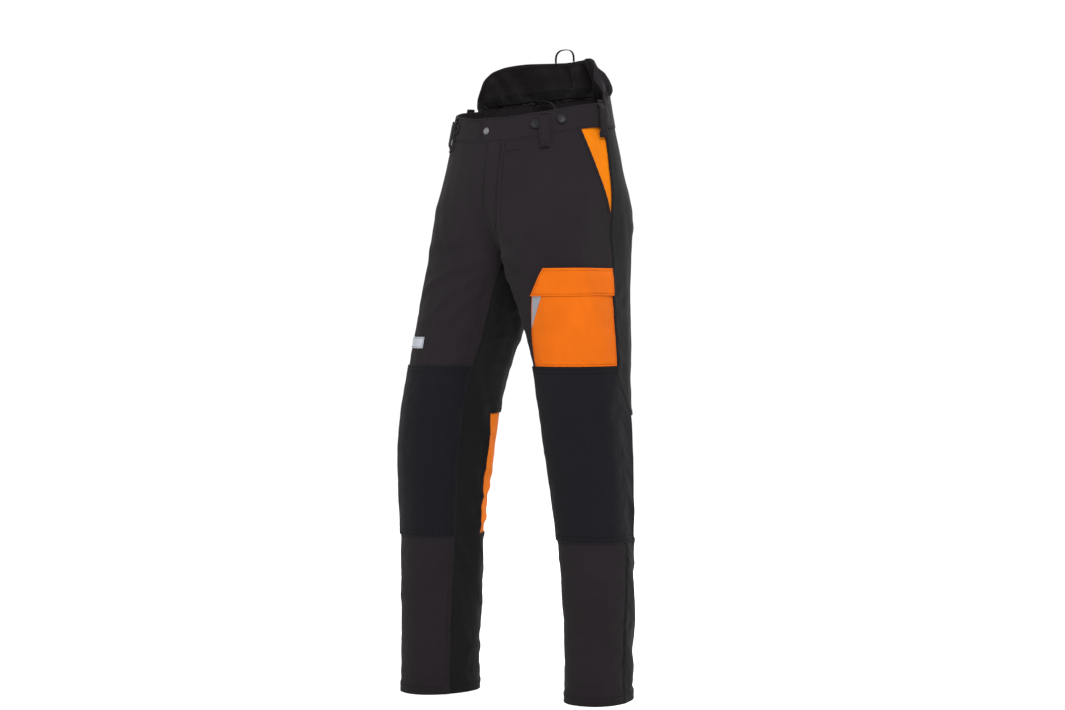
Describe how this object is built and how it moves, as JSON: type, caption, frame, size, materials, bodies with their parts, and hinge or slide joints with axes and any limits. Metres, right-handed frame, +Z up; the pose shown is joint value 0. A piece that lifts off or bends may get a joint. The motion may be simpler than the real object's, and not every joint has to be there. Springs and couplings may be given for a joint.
{
  "type": "chainsaw protective trousers",
  "caption": "Chainsaw protective trousers with knee patches, raised kidney panel, brace buttons, zip fly, thigh pocket and cut-protection pads.",
  "frame": {"origin": "on the floor under the middle of the standing trousers' bounding box", "axes": "+Z up, the wearer faces -Y, the wearer's left leg is on +X"},
  "size_m": [0.4466, 0.3612, 1.2475],
  "materials": {
    "charcoal_cloth": "plain charcoal twill, matt",
    "knee_cloth": "heavier coated weave, matt",
    "orange_cloth": "bright orange twill",
    "pad_fibre": "layered cut-protection fibre",
    "lining_mesh": "fine knitted mesh",
    "webbing": "woven tape",
    "reflective": "glass-bead reflective tape",
    "black_plastic": "gloss black",
    "snap_metal": "dull nickel",
    "zip_metal": "antique"
  },
  "bodies": {
    "hips": {"waistband_left": "charcoal_cloth", "waistband_right": "charcoal_cloth", "waistband_back": "charcoal_cloth", "kidney_panel": "charcoal_cloth", "kidney_elastic": "webbing", "fly_shield": "charcoal_cloth", "snap_stud": "snap_metal", "inner_loop": "webbing", "belt_loop_back": "charcoal_cloth", "hip_front_left": "charcoal_cloth", "hip_front_right": "charcoal_cloth", "hip_back_left": "charcoal_cloth", "hip_back_right": "charcoal_cloth", "pocket_facing_left": "orange_cloth", "pocket_facing_right": "orange_cloth", "pocket_bag_left": "lining_mesh", "pocket_bag_right": "lining_mesh", "zip_tape_left": "zip_metal", "zip_tape_right": "zip_metal", "belt_loop_front_left": "charcoal_cloth", "belt_loop_front_right": "charcoal_cloth", "belt_loop_side_left": "charcoal_cloth", "belt_loop_side_right": "charcoal_cloth", "brace_button_left_inner": "black_plastic", "brace_button_left_outer": "black_plastic", "brace_button_right_inner": "black_plastic", "brace_button_right_outer": "black_plastic"},
    "fly_flap": {"fly_cover": "charcoal_cloth", "waistband_tab": "charcoal_cloth", "snap_cap": "snap_metal"},
    "zip_slider": {"zip_slider": "zip_metal"},
    "zip_pull": {"zip_pull": "zip_metal"},
    "hanger_loop": {"hanger_loop": "webbing"},
    "left_thigh": {"thigh_front_left": "charcoal_cloth", "thigh_back_left": "charcoal_cloth", "knee_patch_upper_left": "knee_cloth", "pad_thigh_left": "pad_fibre", "lining_thigh_left": "lining_mesh", "cargo_pocket": "orange_cloth", "pocket_reflector": "reflective"},
    "cargo_flap": {"cargo_flap": "orange_cloth"},
    "left_shin": {"knee_patch_lower_left": "knee_cloth", "shin_front_left": "charcoal_cloth", "shin_back_left": "charcoal_cloth", "calf_panel_left": "orange_cloth", "pad_shin_left": "pad_fibre", "lining_shin_left": "lining_mesh"},
    "right_thigh": {"thigh_front_right": "charcoal_cloth", "thigh_back_right": "charcoal_cloth", "knee_patch_upper_right": "knee_cloth", "pad_thigh_right": "pad_fibre", "lining_thigh_right": "lining_mesh", "reflective_band": "reflective"},
    "right_shin": {"knee_patch_lower_right": "knee_cloth", "shin_front_right": "charcoal_cloth", "shin_back_right": "charcoal_cloth", "calf_panel_right": "orange_cloth", "pad_shin_right": "pad_fibre", "lining_shin_right": "lining_mesh"}
  },
  "joints": [
    {"name": "left_hip", "type": "hinge", "parent": "hips", "child": "left_thigh", "pos_m": [0.1, -0.15665, 0.842], "axis": [-1, 0, 0], "range_deg": [0, 60]},
    {"name": "right_hip", "type": "hinge", "parent": "hips", "child": "right_thigh", "pos_m": [-0.1, -0.15665, 0.842], "axis": [-1, 0, 0], "range_deg": [0, 60]},
    {"name": "left_knee", "type": "hinge", "parent": "left_thigh", "child": "left_shin", "pos_m": [0.139, 0.12135, 0.53], "axis": [1, 0, 0], "range_deg": [0, 75]},
    {"name": "right_knee", "type": "hinge", "parent": "right_thigh", "child": "right_shin", "pos_m": [-0.139, 0.03735, 0.53], "axis": [1, 0, 0], "range_deg": [0, 75]},
    {"name": "fly_open", "type": "hinge", "parent": "hips", "child": "fly_flap", "pos_m": [0.037, -0.1415, 0.98], "axis": [0, 0, 1], "range_deg": [0, 75]},
    {"name": "zip_slide", "type": "slide", "parent": "hips", "child": "zip_slider", "axis": [0, 0.0405, -0.9992], "range_m": [0, 0.12]},
    {"name": "zip_pull_swing", "type": "hinge", "parent": "zip_slider", "child": "zip_pull", "pos_m": [0, -0.11594, 1.03484], "axis": [-1, 0, 0], "range_deg": [0, 8]},
    {"name": "cargo_flap_lift", "type": "hinge", "parent": "left_thigh", "child": "cargo_flap", "pos_m": [0.20526, -0.09655, 0.8145], "axis": [-0.3673, -0.9301, 0], "range_deg": [0, 90]},
    {"name": "hanger_swing", "type": "hinge", "parent": "hips", "child": "hanger_loop", "pos_m": [0.0005, 0.10506, 1.2265], "axis": [1, 0, 0], "range_deg": [-45, 45]}
  ]
}
